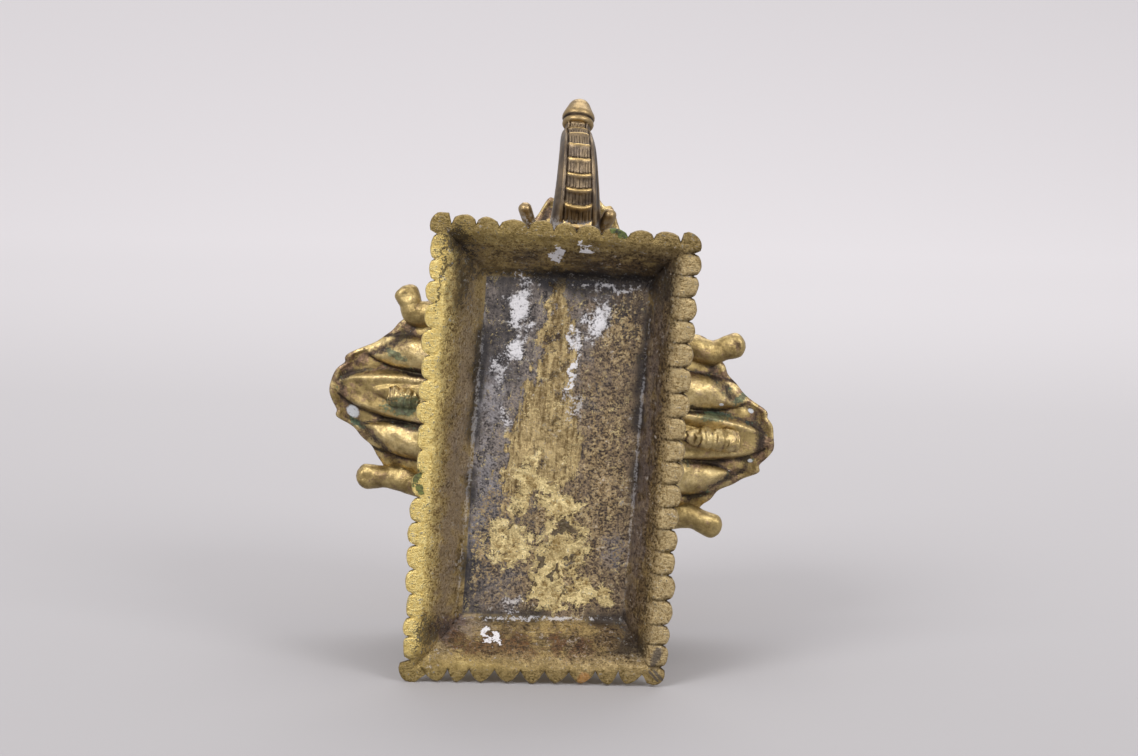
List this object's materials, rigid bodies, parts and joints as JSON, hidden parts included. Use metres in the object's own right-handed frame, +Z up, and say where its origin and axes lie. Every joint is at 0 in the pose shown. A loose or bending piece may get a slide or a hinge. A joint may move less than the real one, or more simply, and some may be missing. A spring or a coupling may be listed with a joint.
{
  "type": "brass oil lamp",
  "caption": "Cast brass oil lamp: an elephant with a raised trunk stands on a hollow lotus foot and carries a shallow pan with leaf-shaped wick spouts.",
  "frame": {"origin": "middle of the underside of the bounding box, in the plane of the foot's rim", "axes": "+Z up, the elephant faces -Y, +X towards the elephant's left side"},
  "size_m": [0.1438, 0.1746, 0.0829],
  "materials": {
    "foot_brass": "filed and cast, worn bright on the rim",
    "figure_brass": "dark grey-brown patina",
    "pan_brass": "olive patina with dark recesses"
  },
  "bodies": {
    "root": {"lotus_foot": "foot_brass", "elephant": "figure_brass", "lamp_pan": "pan_brass"}
  },
  "joints": []
}
